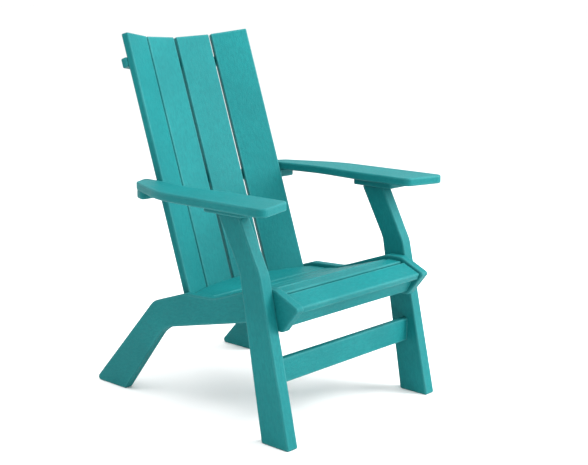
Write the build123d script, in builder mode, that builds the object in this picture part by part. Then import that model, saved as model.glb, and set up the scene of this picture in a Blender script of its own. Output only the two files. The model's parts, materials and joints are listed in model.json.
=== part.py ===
from build123d import *
from math import cos, radians, sin, sqrt, tan
import os

os.makedirs("parts", exist_ok=True)

# Adirondack chair in poly lumber boards, put together with stainless screws.
# Millimetres, +Z up. The chair faces -Y, x = 0 is its plane of symmetry, z = 0 is the ground
# and y = 0 lies halfway between the front of the front feet and the back of the rear feet.
# "Left" and "right" are the sitter's own, so left is +X.

# Boards
edge_round = 4.0
slat_round = 3.5
stringer_thickness = 25.4
leg_thickness = 34.3
arm_thickness = 22.0
crossbar_thickness = 22.2
slat_thickness = 19.0
foot_round = 5.0

# Positions across the chair (distance from the plane of symmetry)
stringer_inner_x = 231.6
stringer_outer_x = stringer_inner_x + stringer_thickness
seat_half_width = 230.2

# Heights
leg_top_z = 551.5
arm_bottom_z = 567.7
crossbar_bottom_z = arm_bottom_z - crossbar_thickness

# Side stringer outline in the YZ plane: corner position and corner radius
stringer_corners = [
    ((392.7, 0.0), 9.0),
    ((137.3, 272.0), 60.0),
    ((13.5, 313.2), 15.0),
    ((-94.8, 318.5), 90.0),
    ((-256.8, 376.0), 20.0),
    ((-305.8, 376.5), 18.0),
    ((-381.8, 341.4), 8.0),
    ((-330.0, 276.7), 12.0),
    ((-211.3, 278.2), 60.0),
    ((97.0, 206.8), 110.0),
    ((264.0, 0.0), 6.0),
]

# Front leg outline in the YZ plane: corner position and corner radius
front_leg_corners = [
    ((-382.1, 0.0), foot_round),
    ((-291.7, 0.0), foot_round),
    ((-220.8, 415.2), 70.0),
    ((-146.9, leg_top_z), foot_round),
    ((-219.7, leg_top_z), foot_round),
    ((-290.8, 413.8), 70.0),
]

# Arm outline in plan
arm_front_inner = (230.0, -325.3)
arm_front_outer = (350.0, -359.3)
arm_bend = (350.0, 3.7)
arm_rear_outer = (282.0, 162.7)
arm_rear_inner = (227.0, 190.7)
arm_inner_straight_end = (230.0, -180.8)
arm_waist = (243.0, -1.3)
arm_front_round = 19.0
arm_bend_round = 250.0
arm_rear_outer_round = 18.0
arm_rear_inner_round = 10.0

# Spacer block between the top of the front leg and the arm
block_inner_x = 245.0
block_outer_x = 317.5
block_front_y = -257.3
block_rear_y = -125.3
block_round = 8.0

# Bar under the rear ends of the arms
crossbar_front_y = 130.7
crossbar_front_half = 291.0
crossbar_end = (277.0, 165.7)
crossbar_rear_y = 255.7
crossbar_end_round = 10.0

# Back: the slats stand on a reclined plane, local x across, local y to the rear, local z up the slats
back_foot = (0.0, 31.7, 300.0)
recline = 18.71
slat_width = 110.5
slat_bottom = -50.0
slat_top = 703.6
# Middle of the slat's front face across and to the rear, and the angle it is turned inward
outer_slat = (168.8, 21.8, 23.75)
inner_slat = (58.5, 55.3, 8.97)

# Rails behind the slats
rail_depth = 20.0
upper_rail_bottom = 616.0
upper_rail_top = 642.0
upper_rail_half = 231.0
lower_rail_bottom = -46.0
lower_rail_top = -6.0
rail_corner_round = 30.0
rail_end_round = 5.0
rail_screw_offset = 28.0

# Seat: line of its top in the YZ plane, from the nose to the rear end
seat_nose = (-370.3, 340.9)
seat_brow = (-312.8, 365.9)
seat_crest = (-261.0, 365.6)
seat_hollow = (-90.8, 313.6)
seat_bend = (-40.3, 305.2)
seat_end = (98.7, 296.8)
seat_gap = 6.2
seat_rear_gap = 4.0

# Leaning apron under the front seat slat: lower front edge and lean from the horizontal
apron_bottom = (-325.3, 284.1)
apron_lean = 61.0

# Stretcher between the front legs
stretcher_front_y = -312.3
stretcher_bottom_z = 142.0
stretcher_top_z = 204.5

# Cutting shapes reach this far past the boards they trim
cut_margin = 10.0
# Height band on the reclined plane in which the crossbar and the rear seat board are trimmed
crossbar_cut = (200.0, 360.0)
seat_cut = (-80.0, 80.0)
crossbar_cut_front = -60.0
seat_cut_rear = 160.0

# Battens inside the stringers that carry the seat boards
cleat_thickness = 19.0
cleat_depth = 34.0
cleat_rear_y = 9.2

# Flat-head screws
screw_shank = 4.5
screw_head = 8.6
screw_head_height = 2.6
screw_tip = 5.0
screw_drive = 2.8
screw_drive_depth = 1.8
screw_bite = 13.0

# Pocket screws enter the face of a board at a shallow angle
pocket_diameter = 9.6
pocket_length = 60.0
pocket_grip = 19.0
pocket_angle = 15.0
# Distances of the pocket screws in from the edges of the board they leave
rail_pocket_inset = 8.0
stretcher_pocket_inset = 16.0
apron_pocket_heights = (14.0, 36.0)

# Hex-head leg bolts
bolt_shank = 8.0
bolt_head_across_flats = 13.0
bolt_head_height = 5.5
bolt_bite = 27.0
# Leg bolts in the YZ plane
bolt_places = [(-297.8, 329.5), (-258.8, 327.5)]


def rounded_outline(corners):
    """Closed face from corner points, each with its own radius."""
    with BuildSketch() as outline:
        with BuildLine():
            Polyline(*[point for point, radius in corners], close=True)
        make_face()
        for point, radius in corners:
            corner = outline.vertices().sort_by_distance((point[0], point[1], 0))[0]
            fillet(corner, radius=radius)
    return outline.sketch


def crossing(a, b, c, d):
    """Point where the line a-b meets the line c-d."""
    ab = (b[0] - a[0], b[1] - a[1])
    cd = (d[0] - c[0], d[1] - c[1])
    span = ((c[0] - a[0]) * cd[1] - (c[1] - a[1]) * cd[0]) / (ab[0] * cd[1] - ab[1] * cd[0])
    return (a[0] + span * ab[0], a[1] + span * ab[1])


def toward(a, b, distance):
    """Point a given distance from a on the way to b."""
    length = sqrt((b[0] - a[0]) ** 2 + (b[1] - a[1]) ** 2)
    return (a[0] + (b[0] - a[0]) * distance / length, a[1] + (b[1] - a[1]) * distance / length)


def seat_point(board, along, depth):
    """Point at a fraction of a seat board's width, a given depth under its top face."""
    front, rear = board
    run = (rear[0] - front[0], rear[1] - front[1])
    width = sqrt(run[0] ** 2 + run[1] ** 2)
    return (
        front[0] + along * run[0] + depth * run[1] / width,
        front[1] + along * run[1] - depth * run[0] / width,
    )


def seat_line(board, depth):
    """Front and rear points of the line a given depth under a seat board's top face."""
    return seat_point(board, 0, depth), seat_point(board, 1, depth)


def behind_slat(slat, x, depth):
    """Distance to the rear at x of a line parallel to a slat, a given depth behind its front."""
    across, rearward, turn = slat
    return rearward + depth / cos(radians(turn)) + (across - x) * tan(radians(turn))


def slat_fan(half, depth):
    """Line through all four slats, right to left, a given depth behind their fronts."""
    corner = crossing(
        (half, behind_slat(outer_slat, half, depth)),
        (0, behind_slat(outer_slat, 0, depth)),
        (half, behind_slat(inner_slat, half, depth)),
        (0, behind_slat(inner_slat, 0, depth)),
    )
    middle = (0, behind_slat(inner_slat, 0, depth))
    end = (half, behind_slat(outer_slat, half, depth))
    return [(-end[0], end[1]), (-corner[0], corner[1]), middle, corner, end]


def left_side(lines):
    """Screw positions on the left side, from starting points and directions."""
    return [Plane(origin=start, z_dir=aim) for start, aim in lines]


def both_sides(lines):
    """Screw positions on the left side and their mirror images on the right."""
    mirrored = [
        ((-start[0], start[1], start[2]), (-aim[0], aim[1], aim[2])) for start, aim in lines
    ]
    return left_side(lines) + left_side(mirrored)


def screw_body(length):
    """Flat-head screw without its drive, head at the origin and tip along +Z."""
    with BuildPart() as body:
        with BuildSketch(Plane.XZ):
            with BuildLine():
                Polyline(
                    (0, 0),
                    (screw_head / 2, 0),
                    (screw_shank / 2, screw_head_height),
                    (screw_shank / 2, length - screw_tip),
                    (0, length),
                    close=True,
                )
            make_face()
        revolve(axis=Axis.Z)
    return body.part


def screw(length):
    """Flat-head screw with a square drive."""
    with BuildPart() as whole:
        add(screw_body(length))
        with BuildSketch(Plane.XY):
            Rectangle(screw_drive, screw_drive)
        extrude(amount=screw_drive_depth, mode=Mode.SUBTRACT)
    return whole.part


def pocket_hole(length):
    """Hole for a pocket screw: the screw itself and the round pocket behind its head."""
    with BuildPart() as hole:
        add(screw_body(length))
        with BuildSketch(Plane.XY):
            Circle(pocket_diameter / 2)
        extrude(amount=-pocket_length)
    return hole.part


# Reclined plane of the back
back_plane = Plane(
    origin=back_foot,
    x_dir=(1, 0, 0),
    z_dir=(0, sin(radians(recline)), cos(radians(recline))),
)


def on_back(x, rearward, up):
    """Point given on the reclined plane as plain coordinates."""
    point = back_plane.from_local_coords((x, rearward, up))
    return (point.X, point.Y, point.Z)


def rail_screw_line(slat, offset, up):
    """Screw from the rear face of a rail straight into a slat, offset from the slat's middle."""
    across, rearward, turn = slat
    side = (cos(radians(turn)), -sin(radians(turn)))
    inward = (-sin(radians(turn)), -cos(radians(turn)))
    reach = slat_thickness + rail_depth
    x = across + offset * side[0] - reach * inward[0]
    n = rearward + offset * side[1] - reach * inward[1]
    start = on_back(x, n, up)
    ahead = on_back(x + inward[0], n + inward[1], up)
    return start, (ahead[0] - start[0], ahead[1] - start[1], ahead[2] - start[2])


# Screw lengths
rail_screw_length = rail_depth + screw_bite
seat_screw_length = cleat_depth + screw_bite
cleat_screw_length = 38.0
block_leg_screw_length = 50.0
arm_block_screw_length = 30.0
crossbar_arm_screw_length = 38.0
pocket_screw_length = pocket_grip + screw_bite
bolt_length = cleat_thickness + stringer_thickness + bolt_bite

# Rail screws: two into each slat from each rail
upper_rail_middle = (upper_rail_bottom + upper_rail_top) / 2
lower_rail_middle = (lower_rail_bottom + lower_rail_top) / 2
outer_upper_lines = [
    rail_screw_line(outer_slat, offset, upper_rail_middle)
    for offset in (-rail_screw_offset, rail_screw_offset)
]
inner_upper_lines = [
    rail_screw_line(inner_slat, offset, upper_rail_middle)
    for offset in (-rail_screw_offset, rail_screw_offset)
]
outer_lower_lines = [
    rail_screw_line(outer_slat, offset, lower_rail_middle)
    for offset in (-rail_screw_offset, rail_screw_offset)
]
inner_lower_lines = [
    rail_screw_line(inner_slat, offset, lower_rail_middle)
    for offset in (-rail_screw_offset, rail_screw_offset)
]

# Seat boards, each given by its top front and top rear edges; the long slope is two boards
seat_middle = ((seat_crest[0] + seat_hollow[0]) / 2, (seat_crest[1] + seat_hollow[1]) / 2)
seat_front = (seat_nose, toward(seat_brow, seat_nose, seat_gap / 2))
seat_second = (
    toward(seat_brow, seat_crest, seat_gap / 2),
    toward(seat_crest, seat_brow, seat_gap / 2),
)
seat_third = (
    toward(seat_crest, seat_middle, seat_gap / 2),
    toward(seat_middle, seat_crest, seat_gap / 2),
)
seat_fourth = (
    toward(seat_middle, seat_hollow, seat_gap / 2),
    toward(seat_hollow, seat_middle, seat_gap / 2),
)
seat_fifth = (
    toward(seat_hollow, seat_bend, seat_gap / 2),
    toward(seat_bend, seat_hollow, seat_gap / 2),
)
seat_rear = (toward(seat_bend, seat_end, seat_gap / 2), seat_end)
seat_boards = [seat_front, seat_second, seat_third, seat_fourth, seat_fifth, seat_rear]

# Seat screws come up through the cleats, square to each seat board
cleat_middle_x = stringer_inner_x - cleat_thickness / 2
cleat_inner_x = stringer_inner_x - cleat_thickness


def seat_screw_line(board, along):
    """Screw up through the cleat into a seat board, square to the board."""
    low = seat_point(board, along, slat_thickness + cleat_depth)
    top = seat_point(board, along, 0)
    return (cleat_middle_x, low[0], low[1]), (0, top[0] - low[0], top[1] - low[1])


def cleat_line(board, along):
    """Level line outward through the middle of the cleat under a seat board."""
    point = seat_point(board, along, slat_thickness + cleat_depth / 2)
    return (cleat_inner_x, point[0], point[1]), (1, 0, 0)


# How far along each seat board its screws stand
seat_screw_places = [(0.7,), (0.69,), (0.3, 0.8), (0.2, 0.8), (0.7,), (0.2,)]
board_screw_lines = [
    [seat_screw_line(board, along) for along in places]
    for board, places in zip(seat_boards, seat_screw_places)
]
seat_screw_lines = sum(board_screw_lines, [])
cleat_screw_lines = [
    cleat_line(seat_third, 0.55),
    cleat_line(seat_fourth, 0.5),
    cleat_line(seat_fifth, 0.25),
    cleat_line(seat_rear, 0.07),
]
bolt_lines = [((cleat_inner_x, y, z), (1, 0, 0)) for y, z in bolt_places]

# Screws that join block, leg and arm
block_leg_lines = [((274.0, y, arm_bottom_z), (0, 0, -1)) for y in (-201.8, -178.8)]
arm_block_lines = [
    ((304.0, -231.8, leg_top_z), (0, 0, 1)),
    ((304.0, -155.8, leg_top_z), (0, 0, 1)),
    ((268.0, -136.2, leg_top_z), (0, 0, 1)),
]
crossbar_arm_lines = [
    ((268.0, 147.2, crossbar_bottom_z), (0, 0, 1)),
    ((245.0, 156.2, crossbar_bottom_z), (0, 0, 1)),
]

# Pocket screws, each placed by the point where it crosses from one board into the other
crossbar_middle_z = crossbar_bottom_z + crossbar_thickness / 2


def crossbar_pocket_line(slat):
    """Pocket screw rising out of the crossbar into the rear face of a slat."""
    across, rearward, turn = slat
    x = across + slat_thickness * sin(radians(turn))
    n = behind_slat(slat, x, slat_thickness)
    # Height up the slat at which this point lies level with the middle of the crossbar
    level = crossbar_middle_z - back_foot[2] + n * sin(radians(recline))
    joint = on_back(x, n, level / cos(radians(recline)))
    flat = cos(radians(pocket_angle))
    aim = (-sin(radians(turn)) * flat, -cos(radians(turn)) * flat, sin(radians(pocket_angle)))
    start = tuple(joint[i] - pocket_grip * aim[i] for i in range(3))
    return start, aim


def end_pocket_line(joint, rear_face):
    """Pocket screw out of the end of a board, leaning away from the board's rear face."""
    flat = cos(radians(pocket_angle))
    lean = sin(radians(pocket_angle))
    aim = (flat, -rear_face[0] * lean, -rear_face[1] * lean)
    start = tuple(joint[i] - pocket_grip * aim[i] for i in range(3))
    return start, aim


def lower_rail_pocket_line(up):
    """Pocket screw out of the end of the lower rail into the stringer."""
    turn = outer_slat[2] + pocket_angle
    aim = (cos(radians(turn)), -sin(radians(turn)))
    n = behind_slat(outer_slat, stringer_inner_x, slat_thickness + rail_depth / 2)
    x_start = stringer_inner_x - pocket_grip * aim[0]
    n_start = n - pocket_grip * aim[1]
    start = on_back(x_start, n_start, up)
    ahead = on_back(x_start + aim[0], n_start + aim[1], up)
    return start, (ahead[0] - start[0], ahead[1] - start[1], ahead[2] - start[2])


outer_crossbar_lines = [crossbar_pocket_line(outer_slat)]
inner_crossbar_lines = [crossbar_pocket_line(inner_slat)]
lower_rail_pocket_lines = [
    lower_rail_pocket_line(lower_rail_bottom + rail_pocket_inset),
    lower_rail_pocket_line(lower_rail_top - rail_pocket_inset),
]
stretcher_middle_y = stretcher_front_y + slat_thickness / 2
stretcher_pocket_lines = [
    end_pocket_line((stringer_outer_x, stretcher_middle_y, z), (1, 0))
    for z in (
        stretcher_bottom_z + stretcher_pocket_inset,
        stretcher_top_z - stretcher_pocket_inset,
    )
]
# Unit directions up the apron and out of its rear face
apron_up = (-cos(radians(apron_lean)), sin(radians(apron_lean)))
apron_rear = (sin(radians(apron_lean)), cos(radians(apron_lean)))
apron_pocket_lines = [
    end_pocket_line(
        (
            stringer_inner_x,
            apron_bottom[0] + height * apron_up[0] + slat_thickness / 2 * apron_rear[0],
            apron_bottom[1] + height * apron_up[1] + slat_thickness / 2 * apron_rear[1],
        ),
        apron_rear,
    )
    for height in apron_pocket_heights
]

rail_screw = screw(rail_screw_length)
rail_screw_hole = screw_body(rail_screw_length)
seat_screw = screw(seat_screw_length)
seat_screw_hole = screw_body(seat_screw_length)
cleat_screw = screw(cleat_screw_length)
cleat_screw_hole = screw_body(cleat_screw_length)
block_leg_screw = screw(block_leg_screw_length)
block_leg_screw_hole = screw_body(block_leg_screw_length)
arm_block_screw = screw(arm_block_screw_length)
arm_block_screw_hole = screw_body(arm_block_screw_length)
crossbar_arm_screw = screw(crossbar_arm_screw_length)
crossbar_arm_screw_hole = screw_body(crossbar_arm_screw_length)
pocket_screw = screw(pocket_screw_length)
pocket_screw_hole = pocket_hole(pocket_screw_length)

# Hex-head leg bolt, underside of its head at the origin and tip along +Z
with BuildPart() as bolt_hole_form:
    with BuildSketch(Plane.XZ):
        with BuildLine():
            Polyline(
                (0, 0),
                (bolt_shank / 2, 0),
                (bolt_shank / 2, bolt_length - screw_tip),
                (0, bolt_length),
                close=True,
            )
        make_face()
    revolve(axis=Axis.Z)
bolt_hole = bolt_hole_form.part
with BuildPart() as bolt_form:
    add(bolt_hole)
    with BuildSketch(Plane.XY):
        RegularPolygon(radius=bolt_head_across_flats / 2, side_count=6, major_radius=False)
    extrude(amount=-bolt_head_height)
bolt = bolt_form.part

# Side stringers, each one board from the seat front down to the rear foot
with BuildPart() as side_stringer_left:
    with BuildSketch(Plane.YZ.offset(stringer_inner_x)):
        add(rounded_outline(stringer_corners))
    extrude(amount=stringer_thickness)
    fillet(side_stringer_left.faces().filter_by(Axis.X).edges(), radius=edge_round)
    with Locations(*left_side(bolt_lines)):
        add(bolt_hole, mode=Mode.SUBTRACT)
    with Locations(*left_side(cleat_screw_lines)):
        add(cleat_screw_hole, mode=Mode.SUBTRACT)
    with Locations(*left_side(lower_rail_pocket_lines + apron_pocket_lines)):
        add(pocket_screw_hole, mode=Mode.SUBTRACT)
side_stringer_left.part.label = "side_stringer_left"
export_step(side_stringer_left.part, "parts/side_stringer_left.step")

with BuildPart() as side_stringer_right:
    mirror(side_stringer_left.part, about=Plane.YZ)
side_stringer_right.part.label = "side_stringer_right"
export_step(side_stringer_right.part, "parts/side_stringer_right.step")

# Front legs on the outer faces of the stringers
with BuildPart() as front_leg_left:
    with BuildSketch(Plane.YZ.offset(stringer_outer_x)):
        add(rounded_outline(front_leg_corners))
    extrude(amount=leg_thickness)
    fillet(front_leg_left.faces().filter_by(Axis.X).edges(), radius=edge_round)
    with Locations(*left_side(bolt_lines)):
        add(bolt_hole, mode=Mode.SUBTRACT)
    with Locations(*left_side(block_leg_lines)):
        add(block_leg_screw_hole, mode=Mode.SUBTRACT)
    with Locations(*left_side(stretcher_pocket_lines)):
        add(pocket_screw_hole, mode=Mode.SUBTRACT)
front_leg_left.part.label = "front_leg_left"
export_step(front_leg_left.part, "parts/front_leg_left.step")

with BuildPart() as front_leg_right:
    mirror(front_leg_left.part, about=Plane.YZ)
front_leg_right.part.label = "front_leg_right"
export_step(front_leg_right.part, "parts/front_leg_right.step")

# Arms: straight outside with a bend inward at the rear, gently waisted inside
with BuildPart() as arm_left:
    with BuildSketch(Plane.XY.offset(arm_bottom_z)) as arm_plan:
        with BuildLine():
            Polyline(
                arm_inner_straight_end,
                arm_front_inner,
                arm_front_outer,
                arm_bend,
                arm_rear_outer,
                arm_rear_inner,
            )
            Spline(
                arm_rear_inner,
                arm_waist,
                arm_inner_straight_end,
                tangents=[(0, -1), (0, -1)],
            )
        make_face()
        for point, radius in (
            (arm_front_inner, arm_front_round),
            (arm_front_outer, arm_front_round),
            (arm_bend, arm_bend_round),
            (arm_rear_outer, arm_rear_outer_round),
            (arm_rear_inner, arm_rear_inner_round),
        ):
            corner = arm_plan.vertices().sort_by_distance((point[0], point[1], 0))[0]
            fillet(corner, radius=radius)
    extrude(amount=arm_thickness)
    fillet(arm_left.faces().filter_by(Axis.Z).edges(), radius=edge_round)
    with Locations(*left_side(arm_block_lines)):
        add(arm_block_screw_hole, mode=Mode.SUBTRACT)
    with Locations(*left_side(crossbar_arm_lines)):
        add(crossbar_arm_screw_hole, mode=Mode.SUBTRACT)
arm_left.part.label = "arm_left"
export_step(arm_left.part, "parts/arm_left.step")

with BuildPart() as arm_right:
    mirror(arm_left.part, about=Plane.YZ)
arm_right.part.label = "arm_right"
export_step(arm_right.part, "parts/arm_right.step")

# Spacer blocks on top of the front legs
block_size = (block_outer_x - block_inner_x, block_rear_y - block_front_y)
block_middle = ((block_outer_x + block_inner_x) / 2, (block_rear_y + block_front_y) / 2)
with BuildPart() as arm_block_left:
    with BuildSketch(Plane.XY.offset(leg_top_z)):
        with Locations(block_middle):
            RectangleRounded(block_size[0], block_size[1], block_round)
    extrude(amount=arm_bottom_z - leg_top_z)
    fillet(arm_block_left.faces().filter_by(Axis.Z).edges(), radius=edge_round)
    with Locations(*left_side(arm_block_lines)):
        add(arm_block_screw_hole, mode=Mode.SUBTRACT)
    with Locations(*left_side(block_leg_lines)):
        add(block_leg_screw_hole, mode=Mode.SUBTRACT)
arm_block_left.part.label = "arm_block_left"
export_step(arm_block_left.part, "parts/arm_block_left.step")

with BuildPart() as arm_block_right:
    mirror(arm_block_left.part, about=Plane.YZ)
arm_block_right.part.label = "arm_block_right"
export_step(arm_block_right.part, "parts/arm_block_right.step")

# Flat bar under the rear ends of the arms, its front bevelled to lie against the slats
slat_rear_fan = slat_fan(upper_rail_half, slat_thickness)
with BuildPart() as arm_crossbar:
    with BuildSketch(Plane.XY.offset(crossbar_bottom_z)) as crossbar_plan:
        with BuildLine():
            Polyline(
                crossbar_end,
                (crossbar_front_half, crossbar_front_y),
                (-crossbar_front_half, crossbar_front_y),
                (-crossbar_end[0], crossbar_end[1]),
            )
            ThreePointArc(
                (-crossbar_end[0], crossbar_end[1]),
                (0, crossbar_rear_y),
                crossbar_end,
            )
        make_face()
        fillet(crossbar_plan.vertices(), radius=crossbar_end_round)
    extrude(amount=crossbar_thickness)
    fillet(arm_crossbar.faces().filter_by(Axis.Z).edges(), radius=edge_round)
    with BuildSketch(back_plane.offset(crossbar_cut[0])):
        with BuildLine():
            Polyline(
                *slat_rear_fan,
                (upper_rail_half, crossbar_cut_front),
                (-upper_rail_half, crossbar_cut_front),
                close=True,
            )
        make_face()
    extrude(amount=crossbar_cut[1] - crossbar_cut[0], mode=Mode.SUBTRACT)
    with Locations(*both_sides(crossbar_arm_lines)):
        add(crossbar_arm_screw_hole, mode=Mode.SUBTRACT)
    with Locations(*both_sides(outer_crossbar_lines + inner_crossbar_lines)):
        add(pocket_screw_hole, mode=Mode.SUBTRACT)
arm_crossbar.part.label = "arm_crossbar"
export_step(arm_crossbar.part, "parts/arm_crossbar.step")

# Back slats: four equal boards side by side, fanned round the sitter's back
slat_rows = [
    ("back_slat_outer", outer_slat, outer_upper_lines + outer_lower_lines, outer_crossbar_lines),
    ("back_slat_inner", inner_slat, inner_upper_lines + inner_lower_lines, inner_crossbar_lines),
]
for slat_name, slat, rail_lines, pocket_lines in slat_rows:
    middle_x = slat[0] + slat_thickness / 2 * sin(radians(slat[2]))
    middle_n = slat[1] + slat_thickness / 2 * cos(radians(slat[2]))
    with BuildPart() as slat_left:
        with BuildSketch(back_plane.offset(slat_bottom)):
            with Locations((middle_x, middle_n)):
                Rectangle(slat_width, slat_thickness, rotation=-slat[2])
        extrude(amount=slat_top - slat_bottom)
        fillet(slat_left.edges(), radius=slat_round)
        with Locations(*left_side(rail_lines)):
            add(rail_screw_hole, mode=Mode.SUBTRACT)
        with Locations(*left_side(pocket_lines)):
            add(screw_body(pocket_screw_length), mode=Mode.SUBTRACT)
    slat_left.part.label = slat_name + "_left"
    export_step(slat_left.part, "parts/" + slat_name + "_left.step")

    with BuildPart() as slat_right:
        mirror(slat_left.part, about=Plane.YZ)
    slat_right.part.label = slat_name + "_right"
    export_step(slat_right.part, "parts/" + slat_name + "_right.step")

# Rails behind the slats, cut to the line of the slats' rear faces
rail_rows = [
    ("upper_back_rail", upper_rail_bottom, upper_rail_top, upper_rail_half,
     outer_upper_lines + inner_upper_lines, []),
    ("lower_back_rail", lower_rail_bottom, lower_rail_top, stringer_inner_x,
     outer_lower_lines + inner_lower_lines, lower_rail_pocket_lines),
]
for rail_name, bottom, top, half, screw_lines, pocket_lines in rail_rows:
    front_points = slat_fan(half, slat_thickness)
    rear_points = slat_fan(half, slat_thickness + rail_depth)
    radii = [rail_end_round, rail_corner_round, rail_corner_round, rail_corner_round, rail_end_round]
    rail_corners = list(zip(front_points, radii)) + list(zip(reversed(rear_points), radii))
    with BuildPart() as back_rail:
        with BuildSketch(back_plane.offset(bottom)):
            add(rounded_outline(rail_corners))
        extrude(amount=top - bottom)
        flat_faces = back_rail.faces().filter_by(back_plane)
        fillet(flat_faces.edges(), radius=edge_round)
        with Locations(*both_sides(screw_lines)):
            add(rail_screw_hole, mode=Mode.SUBTRACT)
        if pocket_lines:
            with Locations(*both_sides(pocket_lines)):
                add(pocket_screw_hole, mode=Mode.SUBTRACT)
    back_rail.part.label = rail_name
    export_step(back_rail.part, "parts/" + rail_name + ".step")

# Seat slats between the stringers, their meeting edges mitred so that each gap is even


def down(board):
    """Unit direction straight down through a seat board."""
    top = seat_point(board, 0, 0)
    low = seat_point(board, 0, 1)
    return (low[0] - top[0], low[1] - top[1])


def mitred(corner, board, neighbour):
    """Underside corner below a top corner, on the mitre between a board and its neighbour."""
    own = down(board)
    other = down(neighbour)
    aim = (corner[0] + own[0] + other[0], corner[1] + own[1] + other[1])
    return crossing(corner, aim, *seat_line(board, slat_thickness))


seat_names = [
    "seat_slat_front",
    "seat_slat_second",
    "seat_slat_third",
    "seat_slat_fourth",
    "seat_slat_fifth",
]
for number, seat_name in enumerate(seat_names):
    board = seat_boards[number]
    ahead = seat_boards[max(number - 1, 0)]
    behind = seat_boards[number + 1]
    low_front = mitred(board[0], board, ahead)
    low_rear = mitred(board[1], board, behind)
    with BuildPart() as seat_slat:
        with BuildSketch(Plane.YZ):
            with BuildLine():
                Polyline(board[0], board[1], low_rear, low_front, close=True)
            make_face()
        extrude(amount=seat_half_width, both=True)
        fillet(seat_slat.edges(), radius=edge_round)
        with Locations(*both_sides(board_screw_lines[number])):
            add(seat_screw_hole, mode=Mode.SUBTRACT)
    seat_slat.part.label = seat_name
    export_step(seat_slat.part, "parts/" + seat_name + ".step")

# Rear seat board, its rear edge bevelled to follow the fronts of the back slats
slat_front_fan = slat_fan(seat_half_width + cut_margin, -seat_rear_gap)
rear_cut_corners = [
    (slat_front_fan[0], edge_round),
    (slat_front_fan[1], rail_corner_round),
    (slat_front_fan[2], rail_corner_round),
    (slat_front_fan[3], rail_corner_round),
    (slat_front_fan[4], edge_round),
    ((seat_half_width + cut_margin, seat_cut_rear), edge_round),
    ((-seat_half_width - cut_margin, seat_cut_rear), edge_round),
]
low_front = mitred(seat_rear[0], seat_rear, seat_fifth)
low_rear = seat_point(seat_rear, 1, slat_thickness)
with BuildPart() as rear_seat_board:
    with BuildSketch(Plane.YZ):
        with BuildLine():
            Polyline(seat_rear[0], seat_rear[1], low_rear, low_front, close=True)
        make_face()
    extrude(amount=seat_half_width, both=True)
    with BuildSketch(back_plane.offset(seat_cut[0])):
        add(rounded_outline(rear_cut_corners))
    extrude(amount=seat_cut[1] - seat_cut[0], mode=Mode.SUBTRACT)
    top_edges = rear_seat_board.faces().sort_by(Axis.Z)[-1].edges()
    bevel_edges = top_edges.filter_by_position(Axis.Y, 0, seat_cut_rear)
    front_edges = rear_seat_board.edges().filter_by(Axis.X).group_by(Axis.Y)
    fillet(bevel_edges + front_edges[0] + front_edges[1], radius=edge_round)
    with Locations(*both_sides(board_screw_lines[5])):
        add(seat_screw_hole, mode=Mode.SUBTRACT)
rear_seat_board.part.label = "rear_seat_board"
export_step(rear_seat_board.part, "parts/rear_seat_board.step")

# Apron leaning forward under the front seat slat
apron_top_front = crossing(
    apron_bottom,
    (apron_bottom[0] + apron_up[0], apron_bottom[1] + apron_up[1]),
    *seat_line(seat_front, slat_thickness),
)
apron_rear_bottom = (
    apron_bottom[0] + slat_thickness * apron_rear[0],
    apron_bottom[1] + slat_thickness * apron_rear[1],
)
apron_rear_up = (apron_rear_bottom[0] + apron_up[0], apron_rear_bottom[1] + apron_up[1])
apron_top_rear = crossing(
    apron_rear_bottom, apron_rear_up, *seat_line(seat_front, slat_thickness)
)
with BuildPart() as front_apron:
    with BuildSketch(Plane.YZ):
        with BuildLine():
            Polyline(
                apron_bottom, apron_top_front, apron_top_rear, apron_rear_bottom, close=True
            )
        make_face()
    extrude(amount=stringer_inner_x, both=True)
    fillet(front_apron.edges().filter_by(Axis.X), radius=edge_round)
    with Locations(*both_sides(apron_pocket_lines)):
        add(pocket_screw_hole, mode=Mode.SUBTRACT)
front_apron.part.label = "front_apron"
export_step(front_apron.part, "parts/front_apron.step")

# Stretcher between the front legs
with BuildPart() as front_stretcher:
    with BuildSketch(Plane.YZ):
        with Locations((stretcher_middle_y, (stretcher_bottom_z + stretcher_top_z) / 2)):
            Rectangle(slat_thickness, stretcher_top_z - stretcher_bottom_z)
    extrude(amount=stringer_outer_x, both=True)
    fillet(front_stretcher.edges().filter_by(Axis.X), radius=edge_round)
    with Locations(*both_sides(stretcher_pocket_lines)):
        add(pocket_screw_hole, mode=Mode.SUBTRACT)
front_stretcher.part.label = "front_stretcher"
export_step(front_stretcher.part, "parts/front_stretcher.step")

# Cleats inside the stringers, their tops following the undersides of the seat boards
seat_runs = [seat_front, seat_second, (seat_crest, seat_hollow), seat_fifth, seat_rear]


def cleat_edge(depth):
    """Line under all the seat boards at a given depth, from the apron to the cleat's rear end."""
    lines = [seat_line(run, depth) for run in seat_runs]
    points = [crossing(apron_rear_bottom, apron_rear_up, *lines[0])]
    for ahead, behind in zip(lines[:-1], lines[1:]):
        points.append(crossing(*ahead, *behind))
    points.append(crossing((cleat_rear_y, 0), (cleat_rear_y, 1), *lines[-1]))
    return points


with BuildPart() as seat_cleat_left:
    with BuildSketch(Plane.YZ.offset(cleat_inner_x)):
        with BuildLine():
            Polyline(
                *cleat_edge(slat_thickness),
                *reversed(cleat_edge(slat_thickness + cleat_depth)),
                close=True,
            )
        make_face()
    extrude(amount=cleat_thickness)
    with Locations(*left_side(seat_screw_lines)):
        add(seat_screw_hole, mode=Mode.SUBTRACT)
    with Locations(*left_side(cleat_screw_lines)):
        add(cleat_screw_hole, mode=Mode.SUBTRACT)
    with Locations(*left_side(bolt_lines)):
        add(bolt_hole, mode=Mode.SUBTRACT)
seat_cleat_left.part.label = "seat_cleat_left"
export_step(seat_cleat_left.part, "parts/seat_cleat_left.step")

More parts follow.
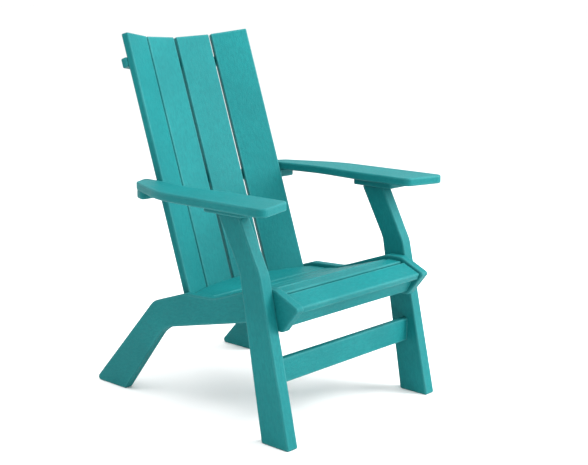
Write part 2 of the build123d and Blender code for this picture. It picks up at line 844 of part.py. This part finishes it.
with BuildPart() as seat_cleat_right:
    mirror(seat_cleat_left.part, about=Plane.YZ)
seat_cleat_right.part.label = "seat_cleat_right"
export_step(seat_cleat_right.part, "parts/seat_cleat_right.step")

# Fasteners, one group of separate solids for each kind and place
fastener_rows = [
    ("leg_bolts", bolt, bolt_lines),
    ("cleat_screws", cleat_screw, cleat_screw_lines),
    ("seat_slat_screws", seat_screw, seat_screw_lines),
    ("block_leg_screws", block_leg_screw, block_leg_lines),
    ("arm_block_screws", arm_block_screw, arm_block_lines),
    ("crossbar_arm_screws", crossbar_arm_screw, crossbar_arm_lines),
    ("upper_rail_screws", rail_screw, outer_upper_lines + inner_upper_lines),
    ("lower_rail_screws", rail_screw, outer_lower_lines + inner_lower_lines),
    (
        "pocket_screws",
        pocket_screw,
        outer_crossbar_lines
        + inner_crossbar_lines
        + lower_rail_pocket_lines
        + stretcher_pocket_lines
        + apron_pocket_lines,
    ),
]
for fastener_name, fastener, lines in fastener_rows:
    with BuildPart() as fasteners:
        with Locations(*both_sides(lines)):
            add(fastener)
    fasteners.part.label = fastener_name
    export_step(fasteners.part, "parts/" + fastener_name + ".step")
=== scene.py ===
import json
from math import cos, radians, sin

import bpy
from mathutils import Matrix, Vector

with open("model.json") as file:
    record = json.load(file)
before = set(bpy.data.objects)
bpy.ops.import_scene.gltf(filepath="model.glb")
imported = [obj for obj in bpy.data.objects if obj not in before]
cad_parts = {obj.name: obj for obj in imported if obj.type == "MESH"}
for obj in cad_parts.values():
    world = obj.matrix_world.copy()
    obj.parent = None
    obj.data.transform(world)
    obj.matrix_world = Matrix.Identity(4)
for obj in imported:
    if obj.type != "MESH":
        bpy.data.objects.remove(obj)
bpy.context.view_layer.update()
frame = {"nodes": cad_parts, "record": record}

# Grain directions of the boards, in the row frame. The cranked boards take a middle direction.
RECLINE = radians(18.71)
UP_THE_BACK = (0.0, sin(RECLINE), cos(RECLINE))
ACROSS = (1.0, 0.0, 0.0)
ALONG = (0.0, 1.0, 0.0)
DOWN_THE_SIDE = (0.0, 0.97, -0.24)
UP_THE_LEG = (0.0, 0.21, 0.98)

GRAIN = {
    "side_stringer_left": DOWN_THE_SIDE,
    "side_stringer_right": DOWN_THE_SIDE,
    "front_leg_left": UP_THE_LEG,
    "front_leg_right": UP_THE_LEG,
    "arm_left": ALONG,
    "arm_right": ALONG,
    "arm_block_left": ALONG,
    "arm_block_right": ALONG,
    "back_slat_outer_left": UP_THE_BACK,
    "back_slat_inner_left": UP_THE_BACK,
    "back_slat_inner_right": UP_THE_BACK,
    "back_slat_outer_right": UP_THE_BACK,
    "seat_cleat_left": ALONG,
    "seat_cleat_right": ALONG,
}

# Colours of the poly lumber, linear: a deeper tone for mottling and specks, its body tone, and
# a paler tone for grain streaks and for the painted highlight on its rounded edges
DEEP = (0.0015, 0.112, 0.119, 1.0)
BODY = (0.0030, 0.156, 0.161, 1.0)
PALE_STREAK_AND_HIGHLIGHT = (0.075, 0.265, 0.268, 1.0)

# Shares of a paler or deeper tone that streaks, specks and the painted edge highlight add
STREAK_SHARE = 0.04
SPECK_SHARE = 0.60
# Painted edge highlight: its share of the pale tone, and the bevel radius that finds the
# rounded edges
EDGE_HIGHLIGHT_SHARE = 0.5
EDGE_HIGHLIGHT_WIDTH = 0.007
GRAIN_STRETCH = 3.0

# Colours of the stainless steel and of the floor, linear
STEEL = (0.62, 0.62, 0.60, 1)
STAINED_STEEL = (0.42, 0.41, 0.38, 1)
FLOOR_DARK = (0.86, 0.86, 0.86, 1)
FLOOR_LIGHT = (0.90, 0.90, 0.90, 1)

# Floor, lights and camera, in metres, watts and degrees
FLOOR_HALF = 90.0
KEY_PLACE = (2.7, -3.3, 2.5)
KEY_AIM = (0.0, 0.0, 0.4)
KEY_SIZE = 2.6
KEY_POWER = 330.0
TOP_PLACE = (-0.4, -0.6, 4.4)
TOP_AIM = (0.0, 0.0, 0.3)
TOP_SIZE = 3.4
TOP_POWER = 190.0
SKY_STRENGTH = 1.15
CAMERA_PLACE = (-2.199, -2.1543, 1.0665)
CAMERA_DOWN = 11.59
CAMERA_TURN = -47.39
CAMERA_LENS = 71.6
CAMERA_SENSOR = 36.0


class Nodes:
    """Short way to add and join shader nodes."""

    def __init__(self, material):
        material.use_nodes = True
        self.tree = material.node_tree
        self.tree.nodes.clear()

    def add(self, kind, **values):
        node = self.tree.nodes.new("ShaderNode" + kind)
        for name, value in values.items():
            setattr(node, name, value)
        return node

    def link(self, out, into):
        self.tree.links.new(out, into)

    def math(self, operation, a, b):
        node = self.add("Math", operation=operation)
        for socket, value in ((node.inputs[0], a), (node.inputs[1], b)):
            if isinstance(value, (int, float)):
                socket.default_value = value
            else:
                self.link(value, socket)
        return node.outputs[0]

    def range(self, value, low, high, to_low, to_high):
        node = self.add("MapRange", clamp=True)
        self.link(value, node.inputs["Value"])
        for name, number in (
            ("From Min", low), ("From Max", high), ("To Min", to_low), ("To Max", to_high),
        ):
            node.inputs[name].default_value = number
        return node.outputs[0]

    def mix(self, factor, a, b):
        node = self.add("Mix", data_type="RGBA")
        self.link(factor, node.inputs["Factor"])
        for socket, value in ((node.inputs[6], a), (node.inputs[7], b)):
            if isinstance(value, tuple):
                socket.default_value = value
            else:
                self.link(value, socket)
        return node.outputs[2]

    def noise(self, vector, scale, detail=2.0, rough=0.5):
        node = self.add("TexNoise")
        self.link(vector, node.inputs["Vector"])
        node.inputs["Scale"].default_value = scale
        node.inputs["Detail"].default_value = detail
        node.inputs["Roughness"].default_value = rough
        return node.outputs["Fac"]


def poly_lumber(name, grain, shift):
    """Solid-coloured poly lumber: fine pebbled skin, faint grain and mottling, and a painted
    highlight on the rounded edges.
    """
    material = bpy.data.materials.new(name)
    n = Nodes(material)
    coords = n.add("TexCoord").outputs["Object"]
    along = Vector(grain).normalized().to_track_quat("Z", "Y").to_euler()
    turned = n.add("Mapping", vector_type="TEXTURE")
    n.link(coords, turned.inputs["Vector"])
    turned.inputs["Location"].default_value = shift
    turned.inputs["Rotation"].default_value = along
    turned.inputs["Scale"].default_value = (1.0, 1.0, GRAIN_STRETCH)
    fibre = n.noise(turned.outputs[0], 700.0, 3.0, 0.6)
    streaks = n.noise(turned.outputs[0], 190.0, 2.0, 0.5)
    pebble = n.noise(coords, 260.0, 5.0, 0.75)
    cloud = n.noise(coords, 7.0, 2.0, 0.5)
    speck = n.noise(turned.outputs[0], 230.0, 5.0, 0.7)

    rounded = n.add("Bevel", samples=6)
    rounded.inputs["Radius"].default_value = EDGE_HIGHLIGHT_WIDTH
    surface = n.add("NewGeometry")
    facing = n.add("VectorMath", operation="DOT_PRODUCT")
    n.link(rounded.outputs[0], facing.inputs[0])
    n.link(surface.outputs["True Normal"], facing.inputs[1])
    edge = n.range(facing.outputs["Value"], 0.998, 0.955, 0.0, 1.0)
    # Painted highlight: the bevel normal finds the rounded edges, and a paler tone is laid on
    # them for the glint of light there, made patchy by the cloud noise
    painted_edge_highlight = n.math("MULTIPLY", edge, n.range(cloud, 0.35, 0.65, 0.4, 1.0))

    base = n.mix(n.range(cloud, 0.3, 0.7, 0.4, 0.9), DEEP, BODY)
    grained = n.mix(n.range(streaks, 0.45, 0.70, 0.0, STREAK_SHARE), base, PALE_STREAK_AND_HIGHLIGHT)
    specked = n.mix(n.range(speck, 0.46, 0.60, 0.0, SPECK_SHARE), grained, DEEP)
    # Mixes the pale tone over the rounded edges as the painted edge highlight
    colour = n.mix(n.math("MULTIPLY", painted_edge_highlight, EDGE_HIGHLIGHT_SHARE), specked, PALE_STREAK_AND_HIGHLIGHT)

    rough = n.math("ADD", n.range(fibre, 0.3, 0.7, 0.50, 0.64), n.math("MULTIPLY", painted_edge_highlight, -0.08))
    height = n.math(
        "ADD",
        n.math("MULTIPLY", fibre, 0.10),
        n.math("ADD", n.math("MULTIPLY", streaks, 0.06), n.math("MULTIPLY", pebble, 1.0)),
    )
    bump = n.add("Bump")
    bump.inputs["Strength"].default_value = 0.45
    bump.inputs["Distance"].default_value = 0.0018
    n.link(height, bump.inputs["Height"])

    shader = n.add("BsdfPrincipled")
    n.link(colour, shader.inputs["Base Color"])
    n.link(rough, shader.inputs["Roughness"])
    n.link(bump.outputs[0], shader.inputs["Normal"])
    shader.inputs["Specular IOR Level"].default_value = 0.12
    out = n.add("OutputMaterial")
    n.link(shader.outputs[0], out.inputs["Surface"])
    return material


def stainless():
    """Plain stainless steel of the screws and bolts: finely scratched and slightly stained."""
    material = bpy.data.materials.new("stainless")
    n = Nodes(material)
    coords = n.add("TexCoord").outputs["Object"]
    scratches = n.noise(coords, 1800.0, 3.0, 0.6)
    stain = n.noise(coords, 160.0, 3.0, 0.5)
    colour = n.mix(n.range(stain, 0.35, 0.7, 0.0, 1.0), STEEL, STAINED_STEEL)
    shader = n.add("BsdfPrincipled")
    n.link(colour, shader.inputs["Base Color"])
    shader.inputs["Metallic"].default_value = 1.0
    n.link(n.range(scratches, 0.3, 0.7, 0.24, 0.42), shader.inputs["Roughness"])
    bump = n.add("Bump")
    bump.inputs["Strength"].default_value = 0.2
    bump.inputs["Distance"].default_value = 0.0002
    n.link(scratches, bump.inputs["Height"])
    n.link(bump.outputs[0], shader.inputs["Normal"])
    out = n.add("OutputMaterial")
    n.link(shader.outputs[0], out.inputs["Surface"])
    return material


def studio_floor():
    """Pale matte floor with a faint unevenness."""
    material = bpy.data.materials.new("studio_floor")
    n = Nodes(material)
    coords = n.add("TexCoord").outputs["Object"]
    cloud = n.noise(coords, 3.0, 2.0, 0.5)
    colour = n.mix(cloud, FLOOR_DARK, FLOOR_LIGHT)
    shader = n.add("BsdfPrincipled")
    n.link(colour, shader.inputs["Base Color"])
    shader.inputs["Roughness"].default_value = 0.75
    shader.inputs["Specular IOR Level"].default_value = 0.2
    out = n.add("OutputMaterial")
    n.link(shader.outputs[0], out.inputs["Surface"])
    return material


steel = stainless()
slot_of = {row["node"]: row["material_slot"] for row in frame["record"]["subparts"]}
for number, (name, node) in enumerate(sorted(frame["nodes"].items())):
    if slot_of[name] == "stainless":
        look = steel
    else:
        shift = (0.37 * number, 0.53 * number, 0.71 * number)
        look = poly_lumber("poly_" + name, GRAIN.get(name, ACROSS), shift)
    for material_slot in node.material_slots:
        material_slot.material = look
    for polygon in node.data.polygons:
        polygon.use_smooth = True

# Floor
mesh = bpy.data.meshes.new("floor")
corners = [(x * FLOOR_HALF, y * FLOOR_HALF, 0) for x, y in ((-1, -1), (1, -1), (1, 1), (-1, 1))]
mesh.from_pydata(corners, [], [(0, 1, 2, 3)])
floor = bpy.data.objects.new("floor", mesh)
bpy.context.scene.collection.objects.link(floor)
mesh.materials.append(studio_floor())


def area_light(name, place, aim, size, power):
    """Soft square light at a place, turned towards a point."""
    data = bpy.data.lights.new(name, "AREA")
    data.shape = "SQUARE"
    data.size = size
    data.energy = power
    light = bpy.data.objects.new(name, data)
    light.location = place
    light.rotation_euler = (Vector(aim) - Vector(place)).to_track_quat("-Z", "Y").to_euler()
    bpy.context.scene.collection.objects.link(light)


area_light("key", KEY_PLACE, KEY_AIM, KEY_SIZE, KEY_POWER)
area_light("top", TOP_PLACE, TOP_AIM, TOP_SIZE, TOP_POWER)

world = bpy.data.worlds.new("studio")
bpy.context.scene.world = world
world.use_nodes = True
background = world.node_tree.nodes["Background"]
background.inputs["Color"].default_value = (1.0, 1.0, 1.0, 1.0)
background.inputs["Strength"].default_value = SKY_STRENGTH

# Camera at the photograph's viewing angle
camera_data = bpy.data.cameras.new("camera")
camera_data.lens = CAMERA_LENS
camera_data.sensor_width = CAMERA_SENSOR
camera = bpy.data.objects.new("camera", camera_data)
camera.location = CAMERA_PLACE
camera.rotation_euler = (radians(90.0 - CAMERA_DOWN), 0.0, radians(CAMERA_TURN))
bpy.context.scene.collection.objects.link(camera)
bpy.context.scene.camera = camera
bpy.context.scene.view_settings.view_transform = "Standard"
